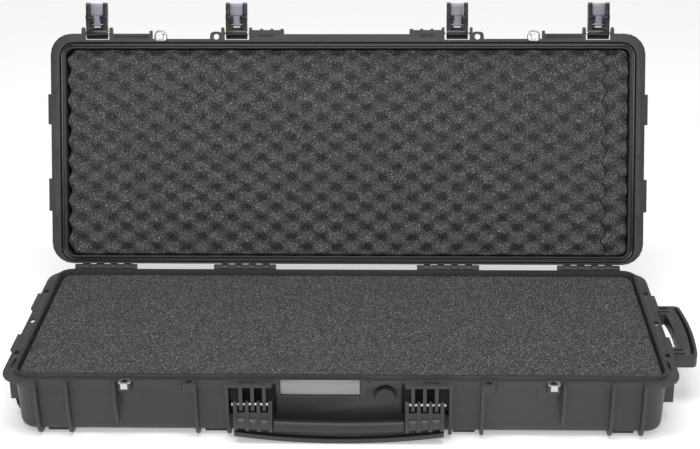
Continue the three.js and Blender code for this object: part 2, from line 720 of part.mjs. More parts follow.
function wheelParts(side) {
  const y0 = side * WHEEL_Y - WHEEL_W / 2;
  const y1 = side * WHEEL_Y + WHEEL_W / 2;
  const rim = WHEEL_R - TYRE_T;
  const hub = cut(
    rod('y', rim - SEAT_PLAY, y0 + 1, y1 - 1, WHEEL_X, WHEEL_Z, 24),
    bore('y', AXLE_R + PIN_PLAY, y0, y1, WHEEL_X, WHEEL_Z),
    rod('y', rim - 6, y0, y0 + 5, WHEEL_X, WHEEL_Z, 16),
    rod('y', rim - 6, y1 - 5, y1, WHEEL_X, WHEEL_Z, 16),
  );
  const boss = cut(
    rod('y', AXLE_R + 4, y0 + 2, y1 - 2, WHEEL_X, WHEEL_Z, 12),
    bore('y', AXLE_R + PIN_PLAY, y0, y1, WHEEL_X, WHEEL_Z),
  );
  const ring = (r, inset) => Array.from({ length: 28 }, (_, i) => {
    const angle = (2 * Math.PI * i) / 28;
    return [WHEEL_X + r * Math.cos(angle), y0 + inset, WHEEL_Z + r * Math.sin(angle)];
  });
  const tyre = cut(
    loft([ring(WHEEL_R - 2, WHEEL_W), ring(WHEEL_R, WHEEL_W - 2), ring(WHEEL_R, 2), ring(WHEEL_R - 2, 0)]),
    rod('y', rim, y0 - 1, y1 + 1, WHEEL_X, WHEEL_Z, 24),
  );
  const axleHalf = WHEEL_W / 2 + WHEEL_PLAY + WELL_WALL - 0.9;
  const axle = rod('y', AXLE_R, side * WHEEL_Y - axleHalf, side * WHEEL_Y + axleHalf, WHEEL_X, WHEEL_Z, 12);
  return { hub: join(hub, boss), tyre, axle };
}

// ---------------------------------------------------------------- foam in the base

function wellClearance() {
  return SIDES.map((side) => {
    const { x1, y0, y1, top } = wellBlock(side);
    return box(-TUB_X, x1 + 1, y0 - 1, y1 + 1, 0, top + 1);
  });
}

function nutNotch() {
  return box(VALVE_X - 13, VALVE_X + 13, -TUB_Y, VALVE_SEAT + WALL + 8, VALVE_Z - 13, VALVE_Z + 13);
}

function baseFoamLower() {
  const hx = TUB_X - WALL - DRAFT - 0.8;
  const hy = TUB_Y - WALL - DRAFT - 0.8;
  const r = TUB_R - WALL - DRAFT;
  return cut(
    shellLoft([[CAVITY_Z + SEAT_PLAY, hx - 3, hy - 3, r - 1], [CAVITY_Z + 5, hx, hy, r],
      [FOAM_SPLIT - SEAT_PLAY, hx, hy, r]]),
    wellClearance(), nutNotch(), SIDES.map((side) => pocketBox(side, 1)),
  );
}

function baseFoamUpper() {
  const hx = Math.min(INSIDE_L / 2, TUB_X - WALL) - FOAM_PLAY + 0.5;
  const hy = INSIDE_W / 2 - FOAM_PLAY;
  const slab = shellLoft([[FOAM_SPLIT, hx - 0.6, hy, INSIDE_R], [FOAM_TOP, hx, hy, INSIDE_R]]);
  return cut(slab, wellClearance(), nutNotch(), SIDES.map((side) => pocketBox(side, 1)));
}

// ---------------------------------------------------------------- front handle

function handleRow(depthOf, thick, x0, x1, count) {
  return steps(x0, x1, count).map((x) => {
    const [top, bottom] = depthOf(x);
    const mid = HANDLE_PIN_Z - (top + bottom) / 2;
    const half = (bottom - top) / 2;
    return Array.from({ length: 8 }, (_, i) => {
      const angle = (Math.PI * (i + 0.5)) / 4;
      const k = 1 / Math.cos(Math.PI / 8);
      return [x, HANDLE_Y + (thick / 2) * k * Math.cos(angle), mid + half * k * Math.sin(angle)];
    });
  });
}

function gripSpan(shrink) {
  return (x) => {
    const half = HANDLE_FINGER_X[3];
    const top = bowed(GRIP_TOP, GRIP_BOW, x, half);
    return [top + shrink, top + GRIP_H - shrink];
  };
}

// outline between two bowed edges, in X and depth below the handle axis
function bowedStrip(upper, lower, half) {
  const xs = steps(-half, half, 12);
  const top = xs.map((x) => [x, HANDLE_PIN_Z - upper(x)]);
  const bottom = [...xs].reverse().map((x) => [x, HANDLE_PIN_Z - lower(x)]);
  return [...bottom, ...top];
}

function handleFrame() {
  const half = HANDLE_FINGER_X[3] + HANDLE_FINGER_W / 2;
  const inner = HANDLE_FINGER_X[0] - HANDLE_FINGER_W / 2;
  const y0 = HANDLE_Y - HANDLE_T / 2;
  const y1 = HANDLE_Y + HANDLE_T / 2;
  const outer = (x) => bowed(HANDLE_REACH, HANDLE_BOW, x, half);
  const gripBottom = (x) => gripSpan(0)(x)[1];
  const rim = prismY(bowedStrip((x) => outer(x) - HANDLE_RIM, outer, half), y0, y1);
  const floor = prismY(bowedStrip((x) => gripBottom(x) - 6, (x) => outer(x) - 1, half), y1 - 4, y1);
  const core = loft(handleRow(gripSpan(GRIP_SKIN), GRIP_T - 2 * GRIP_SKIN, -half, half, 12));
  const ends = SIDES.map((side) => {
    const xs = [side * (inner + 0.4), side * half].sort((a, b) => a - b);
    return loft(handleRow(gripSpan(0), GRIP_T, xs[0], xs[1], 4));
  });
  const fingers = SIDES.flatMap((side) => HANDLE_FINGER_X.map((x) => {
    const [top, bottom] = gripSpan(0)(x);
    const front = HANDLE_Y - GRIP_T / 2 - FINGER_PROUD;
    const tip = bottom - 1;
    const profile = [
      [HANDLE_Y, -tip - 2], [front + 4, -tip - 1.4], [front + 1, -tip + 2], [front, -tip + 6],
      [front, -top - 5], [front + 1.5, -top], [y0, -top + 6], [y0, 0], [y0 + 1.8, 4.2],
      [HANDLE_Y, 6], [y1 - 1.8, 4.2], [y1, 0], [y1, -tip],
    ].map(([y, d]) => [y, HANDLE_PIN_Z + d]);
    return prismX(profile, side * x - HANDLE_FINGER_W / 2, side * x + HANDLE_FINGER_W / 2);
  }));
  const webs = SIDES.map((side) => {
    const xs = [side * inner, side * half].sort((a, b) => a - b);
    return box(
      xs[0] + 1, xs[1] - 1, y0 + 3.5, y1 - 1.5, HANDLE_PIN_Z - GRIP_TOP - 4, HANDLE_PIN_Z - 12.8,
    );
  });
  return cut(
    join(rim, floor, core, ends, fingers, webs),
    SIDES.map((side) => {
      const xs = [side * (inner - 1), side * (half + 1)].sort((a, b) => a - b);
      return bore('x', HANDLE_PIN_R + PIN_PLAY, xs[0], xs[1], HANDLE_Y, HANDLE_PIN_Z, 6);
    }),
  );
}

function handleGrip() {
  const half = HANDLE_FINGER_X[0] - HANDLE_FINGER_W / 2 - SEAT_PLAY;
  const y1 = HANDLE_Y + HANDLE_T / 2;
  const sleeve = loft(handleRow(gripSpan(0), GRIP_T, -half, half, 10));
  const core = loft(handleRow(
    gripSpan(GRIP_SKIN - SEAT_PLAY), GRIP_T - 2 * GRIP_SKIN + 2 * SEAT_PLAY, -half - 2, half + 2, 12,
  ));
  const slot = prismY(bowedStrip(
    (x) => gripSpan(0)(x)[1] - 7, (x) => gripSpan(0)(x)[1] + 3, HANDLE_FINGER_X[3],
  ), y1 - 4 - SEAT_PLAY, y1 + SEAT_PLAY);
  return cut(sleeve, core, slot);
}

function handlePin(side) {
  const end = HANDLE_FINGER_X[3] + HANDLE_FINGER_W / 2 + 2.8;
  const xs = [BRACKET_X[0] + 0.2, end].map((x) => side * x).sort((a, b) => a - b);
  return rod('x', HANDLE_PIN_R, xs[0], xs[1], HANDLE_Y, HANDLE_PIN_Z, 10);
}

// ---------------------------------------------------------------- tow handle

function towStrip(from, to, half) {
  const ys = steps(-half, half, 10);
  const outer = ys.map((y) => [bowed(TOW_MID - from, TOW_BOW, y, TOW_HALF), y]);
  const inner = [...ys].reverse().map((y) => [bowed(TOW_MID - to, TOW_BOW, y, TOW_HALF), y]);
  return [...outer, ...inner];
}

function towHandle() {
  const root = TX + 2.1;
  const inner = TOW_HALF - TOW_ARM;
  const low = TOW_TOP - TOW_T;
  const depth = TOW_RIM + TOW_GROOVE + TOW_GRIP;
  const straight = TOW_HALF - TOW_CORNER_R;
  const cornerX = bowed(TOW_MID, TOW_BOW, straight, TOW_HALF) - TOW_CORNER_R;
  const corner = (side, start) => steps(start, start + 90, 4).map((deg) => {
    const angle = THREE.MathUtils.degToRad(deg);
    return [cornerX + TOW_CORNER_R * Math.cos(angle), side * straight + TOW_CORNER_R * Math.sin(angle)];
  });
  const between = steps(-straight, straight, 10).slice(1, -1);
  const outline = [
    [root, -TOW_HALF], ...corner(-1, -90),
    ...between.map((y) => [bowed(TOW_MID, TOW_BOW, y, TOW_HALF), y]),
    ...corner(1, 0), [root, TOW_HALF],
  ];
  const insideYs = steps(inner, -inner, 6);
  const opening = [
    [root - 1, -inner], [root - 1, inner],
    ...insideYs.map((y) => [bowed(TOW_MID - depth, 4, y, inner), y]),
  ].reverse();
  const slots = SIDES.flatMap((side) => TOW_SLOT_Y.map((y) => box(
    root - 1, TOW_AXIS_X + 29, side * y - TOW_SLOT_W / 2, side * y + TOW_SLOT_W / 2, low - 1, TOW_TOP + 1,
  )));
  const groove = prismZ(
    shapeOf(towStrip(TOW_RIM, TOW_RIM + TOW_GROOVE, TOW_HALF - 8)), low + 5, TOW_TOP + 1,
  );
  const bores = SIDES.map((side) => {
    const span = [side * (inner - 1), side * (TOW_HALF - 4)].sort((a, b) => a - b);
    return bore('y', TOW_PIN_R + PIN_PLAY, span[0], span[1], TOW_AXIS_X, TOW_AXIS_Z, 6);
  });
  const heel = box(root - 1, TOW_AXIS_X - 4, -TOW_HALF - 1, TOW_HALF + 1, low - 1, low + 4);
  return cut(
    prismZ(shapeOf(outline), low, TOW_TOP), prismZ(shapeOf(opening), low - 1, TOW_TOP + 1),
    slots, groove, bores, heel,
  );
}

function towPin(side) {
  const span = [side * (TOW_HALF - TOW_ARM + 0.5), side * (TOW_HALF - 4.5)].sort((a, b) => a - b);
  return rod('y', TOW_PIN_R, span[0], span[1], TOW_AXIS_X, TOW_AXIS_Z, 10);
}

// ---------------------------------------------------------------- lid shell, drawn shut

const GX = TX + GROOVE_PLAY;                       // outer wall of the groove
const GY = TY + GROOVE_PLAY;
const GR = TONGUE_R + GROOVE_PLAY;
const LIP_X = INSIDE_L / 2 - LIP_PLAY;             // outer face of the lip
const LIP_Y = INSIDE_W / 2 - LIP_PLAY;
const LIP_R = INSIDE_R - LIP_PLAY;
const RIM_TOP = LZ + GROOVE_DEPTH + 4;

function lidRib(x) {
  const rimY = GY + 3;
  const top = LID_TOP;
  const wall = LIP_Y - LIP_T + WALL;
  const profile = [
    [-rimY, LZ + FLANGE_T + 6], [-rimY, LZ + 6], [wall, LZ + 6], [BACK_Y, LZ + 8],
    [BACK_Y, RIM_TOP + 2], [wall + 3, top - 12], [wall - 6, top], [-wall + 6, top],
    [-wall - 4, top - 12],
  ];
  return prismX(profile, x - RIB_T / 2, x + RIB_T / 2);
}

function lidTopPanels() {
  const z0 = LID_TOP - RUNNER_H - 1;
  const z1 = LID_TOP - RUNNER_H + 2.2;
  const hy = LIP_Y - LIP_T - 26;
  const spans = [
    [RIB_X[1] + 8, RIB_X[0] - 8], [RIB_X[2] + 16, RIB_X[1] - 16],
    [-RIB_X[1] + 16, -RIB_X[2] - 16], [-RIB_X[0] + 8, -RIB_X[1] - 8],
    [-RIB_X[3] + 16, RIB_X[3] - 16],
  ];
  return spans.map(([x0, x1]) => prismZ(shapeOf(roundRect(x0, x1, -hy, hy, 9, 1)), z0, z1));
}

// guard lugs each side of a latch, which hold its pin
function guardLugs(x) {
  const wall = -(GY + 1);
  const c = (deg, r = LUG_R) => {
    const angle = THREE.MathUtils.degToRad(deg);
    return [LATCH_Y + r * Math.cos(angle), LATCH_Z + r * Math.sin(angle)];
  };
  const profile = [
    [wall, LZ], [LATCH_Y, LZ], c(-135), c(180), c(135), c(80), [wall, LATCH_Z + LUG_R + 2.6],
  ];
  return SIDES.map((side) => {
    const at = [LATCH_W / 2 + LUG_PLAY, LATCH_W / 2 + LUG_PLAY + LUG_T].map((w) => x + side * w);
    at.sort((a, b) => a - b);
    return prismX(profile, at[0], at[1]);
  });
}

function lidFrontParts(z0, z1) {
  const parts = eyePlaces().map((x) => eyeEar(x, z0, z1));
  for (const side of SIDES) {
    const span = (a, b, y) => {
      const xs = [side * a, side * b].sort((p, q) => p - q);
      return box(xs[0], xs[1], -y, -GY, z0, z1);
    };
    parts.push(span(SHORT_RIB_X, LATCH_X[3] - BAY_IN, FLANGE_Y));
    parts.push(span(SHORT_RIB_X - RIB_T / 2, SHORT_RIB_X + RIB_T / 2, TY + LID_RIB_OUT));
    parts.push(span(BRACKET_X[0] + 8, LATCH_X[2] - BAY_IN + 4, TY + BRACKET_OUT - 1.4));
    for (const x of bracketFingerX()) {
      parts.push(span(x - BRACKET_FINGER_W / 2, x + BRACKET_FINGER_W / 2, TY + BRACKET_OUT + 0.6));
    }
  }
  parts.push(box(-BRACKET_X[0] - 10, BRACKET_X[0] + 10, -(TY + 13.8), -GY, z0, z1));
  return parts;
}

// shallow recess in the lid's flange face between each short rib and the end latch
function flangeRecess() {
  return SIDES.map((side) => {
    const xs = [SHORT_RIB_X + 5, LATCH_X[3] - BAY_IN - 8].map((x) => side * x).sort((a, b) => a - b);
    return box(xs[0], xs[1], -(TY + 10.5), -(TY + 5.5), LZ - 1, LZ + SLOT_DEPTH);
  });
}

function lidShell() {
  const rim = loft([LZ, RIM_TOP].map((z) => roundRect(
    -GX - 3.8, GX + 3.8, -GY - 3.8, BACK_Y, GR + 3,
  ).map(([x, y]) => [x, y, z])));
  const hx = LIP_X - LIP_T + WALL;
  const hy = LIP_Y - LIP_T + WALL;
  const r = LIP_R - LIP_T + WALL;
  const top = LID_TOP - RUNNER_H;
  const dome = shellLoft([
    [RIM_TOP - 1, hx, hy, r], [top - 10, hx - DRAFT, hy - DRAFT, r],
    [top - 3, hx - DRAFT - 3, hy - DRAFT - 3, r],
    [top, hx - DRAFT - 9, hy - DRAFT - 9, r],
  ]);
  const cavity = shellLoft([
    [LZ - 1, LIP_X - LIP_T, LIP_Y - LIP_T, LIP_R - LIP_T],
    [RIM_TOP, LIP_X - LIP_T, LIP_Y - LIP_T, LIP_R - LIP_T],
    [top - FLOOR_T, hx - DRAFT - WALL, hy - DRAFT - WALL, LIP_R - LIP_T],
  ]);
  const groove = cut(
    shellLoft([[LZ - 1, GX, GY, GR], [LZ + GROOVE_DEPTH, GX, GY, GR]]),
    shellLoft([[LZ - 2, LIP_X, LIP_Y, LIP_R], [LZ + GROOVE_DEPTH + 1, LIP_X, LIP_Y, LIP_R]]),
  );
  const z1 = LZ + FLANGE_T;
  const pegX = FLANGE_X - SIDE_FLANGE / 2 - 0.2;
  const [w, l] = PEG_SIZE;
  const pegs = SIDES.flatMap((side) => PEG_Y.map((y) => prismZ(shapeOf(roundRect(
    side * pegX - w / 2, side * pegX + w / 2, y - l / 2, y + l / 2, w / 2 - 0.1, 2,
  )), LZ - PEG_H, LZ + 1)));
  const latchCuts = LATCH_X.map((x) => {
    const half = LATCH_W / 2 + LUG_PLAY;
    return box(x - half, x + half, -FLANGE_Y - 8, -GY - 3.8, LZ - 1, LZ + 30);
  });
  const ribs = SIDES.flatMap((side) => RIB_X.map((x) => lidRib(side * x)));
  const whole = join(
    rim, dome, flangePlate(LZ, z1, lidFrontParts(LZ, z1)), ribs, lidTopPanels(), knuckles(false),
  );
  const pinHalf = LATCH_W / 2 + LUG_PLAY + LUG_T - 1;
  return cut(
    join(cut(whole, latchCuts), LATCH_X.flatMap((x) => guardLugs(x)), pegs),
    cavity, groove, hingeBores(), bracketSlots(LZ - 1, LZ + SLOT_DEPTH), flangeRecess(),
    eyeHoles(LZ - 1, z1 + 12),
    seatPockets(LZ - 1, LZ + PLATE_SUNK),
    LATCH_X.map((x) => bore('x', LATCH_PIN_R + PIN_PLAY, x - pinHalf, x + pinHalf, LATCH_Y, LATCH_Z, 6)),
  );
}

function gasket() {
  const z1 = LZ + GROOVE_DEPTH - SEAT_PLAY;
  const z0 = z1 - GASKET_T;
  const play = 0.4;
  return cut(
    shellLoft([[z0, GX - play - 1, GY - play - 1, GR - 1.4], [z0 + 1.5, GX - play, GY - play, GR - play],
      [z1, GX - play, GY - play, GR - play]]),
    shellLoft([z0 - 1, z1 + 1].map((z) => [z, LIP_X + play, LIP_Y + play, LIP_R + play])),
  );
}

function lidFoam(x0, x1) {
  const hx = LIP_X - LIP_T - DRAFT - 1;
  const hy = LIP_Y - LIP_T - DRAFT - 1;
  const z1 = LID_TOP - RUNNER_H - FLOOR_T - SEAT_PLAY;
  const slab = shellLoft([[z1 - LID_FOAM_T, hx + 2, hy + 2, LIP_R], [z1, hx, hy, LIP_R]]);
  return slab.intersect(box(x0, x1, -hy - 5, hy + 5, LZ - 5, z1 + 5));
}

// ---------------------------------------------------------------- latches, drawn open

// u runs outward from the latch axis and w up from it
function latchProfile(points, x0, x1) {
  const outline = points.map(([u, w]) => [LATCH_Y - u, LATCH_Z + w]);
  return prismX(outline, x0, x1);
}

const HOOK_U = LATCH_Z - BAND_Z + HOOK_PLAY;       // latch axis to the top of the hook

function latchBody(x) {
  const half = LATCH_W / 2;
  const inner = -(-LATCH_Y - BAND_Y) + 0.8;        // inner face, just clear of the band
  const hookIn = inner - 0.8 - HOOK_IN;
  const root = rod('x', LATCH_ROOT_R, x - half, x + half, LATCH_Y, LATCH_Z, 12);
  const deck = latchProfile(
    [[0, -2], [0, 3.5], [LEVER_PIVOT - 5, 3.5], [LEVER_PIVOT - 5, -2]], x - half, x + half,
  );
  const heel = latchProfile([[-HEEL_OUT, -2], [-HEEL_OUT, 3], [0, 3.5], [0, -2]], x - half, x + half);
  const arms = SIDES.map((side) => {
    const xs = [x + side * (half - ARM_W), x + side * half].sort((a, b) => a - b);
    return latchProfile([
      [0, 4.5], [LEVER_PIVOT, 4], [LATCH_REACH - 4, 2], [LATCH_REACH, -0.5], [LATCH_REACH - 1, -7],
      [LATCH_REACH - 8, -8.2], [HOOK_U + 9, inner + 1.5], [HOOK_U + 4, hookIn], [HOOK_U + 0.4, hookIn],
      [HOOK_U - 0.3, inner], [6, inner + 2.5], [3, -5],
    ], xs[0], xs[1]);
  });
  const bars = SIDES.flatMap((side) => {
    const xs = [x + side * (LEVER_NECK_W / 2 + LEVER_PLAY), x + side * (half - 1)].sort((a, b) => a - b);
    return [
      latchProfile([[HOOK_U + 4, -1], [HOOK_U + 4, hookIn], [HOOK_U + 0.4, hookIn], [HOOK_U - 1, inner],
        [HOOK_U - 4, inner + 1], [HOOK_U - 4, -1]], xs[0], xs[1]),
      latchProfile([[9, 0], [9, -6], [6, -6], [6, 0]], xs[0], xs[1]),
      latchProfile(
        [[6, 3.5], [LEVER_PIVOT, 3.5], [HOOK_U + 4, 2.4], [HOOK_U + 4, -1], [6, -1]], xs[0], xs[1],
      ),
    ];
  });
  return cut(
    join(root, deck, heel, arms, bars),
    box(
      x - LEVER_NECK_W / 2 - LEVER_PLAY, x + LEVER_NECK_W / 2 + LEVER_PLAY,
      LATCH_Y - LEVER_PIVOT - 5, LATCH_Y - LEVER_PIVOT + 5.2, LATCH_Z - 20, LATCH_Z + 20,
    ),
    bore('x', LATCH_PIN_R + PIN_PLAY, x - half - 1, x + half + 1, LATCH_Y, LATCH_Z, 6),
    bore('x', LEVER_PIN_R + PIN_PLAY, x - half - 1, x + half + 1, LATCH_Y - LEVER_PIVOT, LATCH_Z, 6),
  );
}

function latchLever(x) {
  const plate = LATCH_W / 2 - ARM_W - LEVER_PLAY;
  const neck = LEVER_NECK_W / 2;
  const p = LEVER_PIVOT;
  const stem = latchProfile([
    [p - 3.6, 1.8], [p - 1.5, 3.6], [p + 1.5, 3.6], [LEVER_PLATE_START + 2, 2.2],
    [LEVER_PLATE_START + 2, -3], [p + 2, -3.6], [p - 2, -3.6], [p - 3.6, -1.8],
  ], x - neck, x + neck);
  const panel = latchProfile([
    [LEVER_PLATE_START, 2.6], [LEVER_PLATE_END, 3.4], [LEVER_PLATE_END + 1, -1.5],
    [LEVER_PLATE_END - 4, -2.5], [LEVER_PLATE_END - 5, -4], [LEVER_PLATE_START + 2, -4],
    [LEVER_PLATE_START, -2.5],
  ], x - plate, x + plate);
  return cut(
    join(stem, panel),
    bore('x', LEVER_PIN_R + PIN_PLAY, x - neck - 1, x + neck + 1, LATCH_Y - p, LATCH_Z, 6),
  );
}

function latchPin(x) {
  const half = LATCH_W / 2 + LUG_PLAY + LUG_T - 1.4;
  return rod('x', LATCH_PIN_R, x - half, x + half, LATCH_Y, LATCH_Z, 10);
}

function leverPin(x) {
  const half = LATCH_W / 2 + 0.6;
  return rod('x', LEVER_PIN_R, x - half, x + half, LATCH_Y - LEVER_PIVOT, LATCH_Z, 8);
}

// ---------------------------------------------------------------- the assembly

const equipmentCase = new THREE.Group();
const baseGroup = new THREE.Group();
const lidTurn = new THREE.Group();
const lidGroup = new THREE.Group();

baseGroup.add(
  mesh('base_shell', baseShell(), plasticLook),
  mesh('base_foam_lower', baseFoamLower(), foamLook),
  mesh('base_foam_upper', baseFoamUpper(), foamLook),
  mesh('nameplate', nameplate(), plateLook),
  mesh('valve_body', valveBody(), darkLook),
  mesh('valve_seal', ringY(VALVE_R - 2, STEM_R + PIN_PLAY, VALVE_SEAT - 1, VALVE_SEAT - 0.3, 20), sealLook),
  mesh('valve_knob', valveKnob(), darkLook),
  mesh('valve_nut', ringY(10, STEM_R + PIN_PLAY, VALVE_SEAT + WALL, VALVE_SEAT + WALL + 5, 6), steelLook),
  mesh('front_handle_frame', handleFrame(), darkLook),
  mesh('front_handle_grip', handleGrip(), gripLook),
  mesh('tow_handle', towHandle(), darkLook),
);

for (const side of SIDES) {
  const end = side < 0 ? 'left' : 'right';
  const face = side < 0 ? 'front' : 'rear';
  const wheel = wheelParts(side);
  baseGroup.add(
    mesh(`front_handle_pin_${end}`, handlePin(side), steelLook),
    mesh(`tow_handle_pin_${face}`, towPin(side), steelLook),
    mesh(`base_padlock_plate_${end}`, eyePlate(side, FZ, 1), steelLook),
    mesh(`wheel_${face}_hub`, wheel.hub, darkLook),
    mesh(`wheel_${face}_tyre`, wheel.tyre, sealLook),
    mesh(`wheel_${face}_axle`, wheel.axle, steelLook),
  );
  lidGroup.add(mesh(`lid_padlock_plate_${end}`, eyePlate(side, LZ, -1), steelLook));
}

HINGE_X.forEach((x, i) => {
  const half = HINGE_L / 2 - 0.5;
  baseGroup.add(mesh(
    `hinge_pin_${i + 1}`, rod('x', HINGE_PIN_R, x - half, x + half, HINGE_Y, HINGE_Z, 10), steelLook,
  ));
});

lidGroup.add(
  mesh('lid_shell', lidShell(), plasticLook),
  mesh('lid_gasket', gasket(), sealLook),
  mesh('lid_foam_main', lidFoam(-FLANGE_X, LID_SEAM_X - SEAT_PLAY), foamLook),
  mesh('lid_foam_end', lidFoam(LID_SEAM_X + SEAT_PLAY, FLANGE_X), foamLook),
);

LATCH_X.forEach((x, i) => {
  lidGroup.add(
    mesh(`latch_${i + 1}_body`, latchBody(x), darkLook),
    mesh(`latch_${i + 1}_lever`, latchLever(x), leverLook),
    mesh(`latch_${i + 1}_pin`, latchPin(x), steelLook),
    mesh(`latch_${i + 1}_lever_pin`, leverPin(x), steelLook),
  );
});

lidTurn.position.set(0, HINGE_Y, HINGE_Z);
lidTurn.rotation.x = -THREE.MathUtils.degToRad(OPEN_DEG);
lidGroup.position.set(0, -HINGE_Y, -HINGE_Z);
lidTurn.add(lidGroup);
equipmentCase.add(baseGroup, lidTurn);

export default equipmentCase;
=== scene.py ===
"""Looks of an open, foam-lined hard equipment case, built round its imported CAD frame. Metres, +Z up."""

import json
import math

import bmesh
import bpy
from mathutils import Matrix, Vector, noise


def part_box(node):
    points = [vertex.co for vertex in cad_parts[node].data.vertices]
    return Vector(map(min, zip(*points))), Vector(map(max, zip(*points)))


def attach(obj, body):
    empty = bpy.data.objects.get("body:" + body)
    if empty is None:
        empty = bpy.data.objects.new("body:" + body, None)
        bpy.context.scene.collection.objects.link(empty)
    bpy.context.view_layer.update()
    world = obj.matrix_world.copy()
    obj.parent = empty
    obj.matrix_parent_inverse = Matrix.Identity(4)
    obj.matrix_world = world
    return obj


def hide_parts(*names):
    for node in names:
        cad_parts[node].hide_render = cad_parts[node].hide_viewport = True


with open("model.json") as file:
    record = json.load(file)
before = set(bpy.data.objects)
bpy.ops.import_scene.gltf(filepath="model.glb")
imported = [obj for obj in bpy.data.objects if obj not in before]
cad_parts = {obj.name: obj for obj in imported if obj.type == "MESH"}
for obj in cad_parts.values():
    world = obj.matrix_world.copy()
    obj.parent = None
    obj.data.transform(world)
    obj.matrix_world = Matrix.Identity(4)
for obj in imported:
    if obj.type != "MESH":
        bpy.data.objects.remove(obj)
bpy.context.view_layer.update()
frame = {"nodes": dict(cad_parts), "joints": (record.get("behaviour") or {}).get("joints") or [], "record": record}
NODES = frame["nodes"]
JOINTS = {joint["name"]: joint for joint in frame["joints"]}

# ------------------------------------------------------------------ camera, floor and light

CAMERA_AT = (0.0780, -2.1225, 1.1654)
CAMERA_TURN = (67.035, 0.411, 1.396)
CAMERA_LENS = 78.23
CAMERA_SHIFT = (-0.0067, -0.0046)
FILL_STRENGTH = 0.55
FLOOR_HALF = 12.0


def add_camera():
    data = bpy.data.cameras.new("camera")
    data.sensor_width = 36.0
    data.lens = CAMERA_LENS
    data.shift_x, data.shift_y = CAMERA_SHIFT
    data.clip_end = 50.0
    camera = bpy.data.objects.new("camera", data)
    camera.location = CAMERA_AT
    camera.rotation_euler = [math.radians(a) for a in CAMERA_TURN]
    bpy.context.collection.objects.link(camera)
    bpy.context.scene.camera = camera


def add_light(name, place, target, size, watts):
    data = bpy.data.lights.new(name, "AREA")
    data.shape = "RECTANGLE"
    data.size, data.size_y = size
    data.energy = watts
    light = bpy.data.objects.new(name, data)
    light.location = place
    light.rotation_euler = (Vector(target) - Vector(place)).to_track_quat("-Z", "Y").to_euler()
    bpy.context.collection.objects.link(light)


def add_studio():
    """A white room that fills the shadows, with soft lights above and in front."""
    scene = bpy.context.scene
    scene.view_settings.view_transform = "Standard"
    world = bpy.data.worlds.new("studio")
    scene.world = world
    world.use_nodes = True
    tree = world.node_tree
    seen = tree.nodes["Background"]
    seen.inputs["Color"].default_value = (1.0, 1.0, 1.0, 1.0)
    seen.inputs["Strength"].default_value = 1.0
    fill = tree.nodes.new("ShaderNodeBackground")
    fill.inputs["Color"].default_value = (1.0, 1.0, 1.0, 1.0)
    fill.inputs["Strength"].default_value = FILL_STRENGTH
    ray = tree.nodes.new("ShaderNodeLightPath")
    choose = tree.nodes.new("ShaderNodeMixShader")
    tree.links.new(ray.outputs["Is Camera Ray"], choose.inputs["Fac"])
    tree.links.new(fill.outputs["Background"], choose.inputs[1])
    tree.links.new(seen.outputs["Background"], choose.inputs[2])
    tree.links.new(choose.outputs["Shader"], tree.nodes["World Output"].inputs["Surface"])
    add_light("top_light", (0.0, -0.6, 2.4), (0.0, 0.1, 0.1), (2.0, 0.8), 36.0)
    add_light("front_light", (0.0, -2.5, 1.5), (0.0, 0.0, 0.2), (1.8, 0.7), 15.0)


def add_floor():
    mesh = bpy.data.meshes.new("floor")
    half = FLOOR_HALF
    corners = [(-half, -half, 0), (half, -half, 0), (half, half, 0), (-half, half, 0)]
    mesh.from_pydata(corners, [], [(0, 1, 2, 3)])
    floor = bpy.data.objects.new("floor", mesh)
    bpy.context.collection.objects.link(floor)
    material = bpy.data.materials.new("floor")
    material.use_nodes = True
    surface = material.node_tree.nodes["Principled BSDF"]
    surface.inputs["Base Color"].default_value = (0.90, 0.90, 0.90, 1.0)
    surface.inputs["Roughness"].default_value = 0.9
    surface.inputs["Emission Color"].default_value = (1.0, 1.0, 1.0, 1.0)
    surface.inputs["Emission Strength"].default_value = 0.30
    floor.data.materials.append(material)


# ------------------------------------------------------------------ materials


def node(tree, kind, inputs=None, **settings):
    made = tree.nodes.new("ShaderNode" + kind)
    for key, value in settings.items():
        setattr(made, key, value)
    for key, value in (inputs or {}).items():
        if isinstance(value, bpy.types.NodeSocket):
            tree.links.new(value, made.inputs[key])
        else:
            made.inputs[key].default_value = value
    return made


def ramp(tree, factor, stops):
    made = node(tree, "ValToRGB", {"Fac": factor})
    elements = made.color_ramp.elements
    while len(elements) < len(stops):
        elements.new(0.5)
    for element, (position, colour) in zip(elements, stops):
        element.position = position
        element.color = (*colour, 1.0)
    return made.outputs["Color"]


def new_material(name):
    material = bpy.data.materials.new(name)
    material.use_nodes = True
    tree = material.node_tree
    return material, tree, tree.nodes["Principled BSDF"]


def coordinates(tree):
    return node(tree, "TexCoord").outputs["Object"]


def grain(tree, place, scale, detail=3.0):
    return node(tree, "TexNoise", {"Vector": place, "Scale": scale, "Detail": detail}).outputs["Fac"]


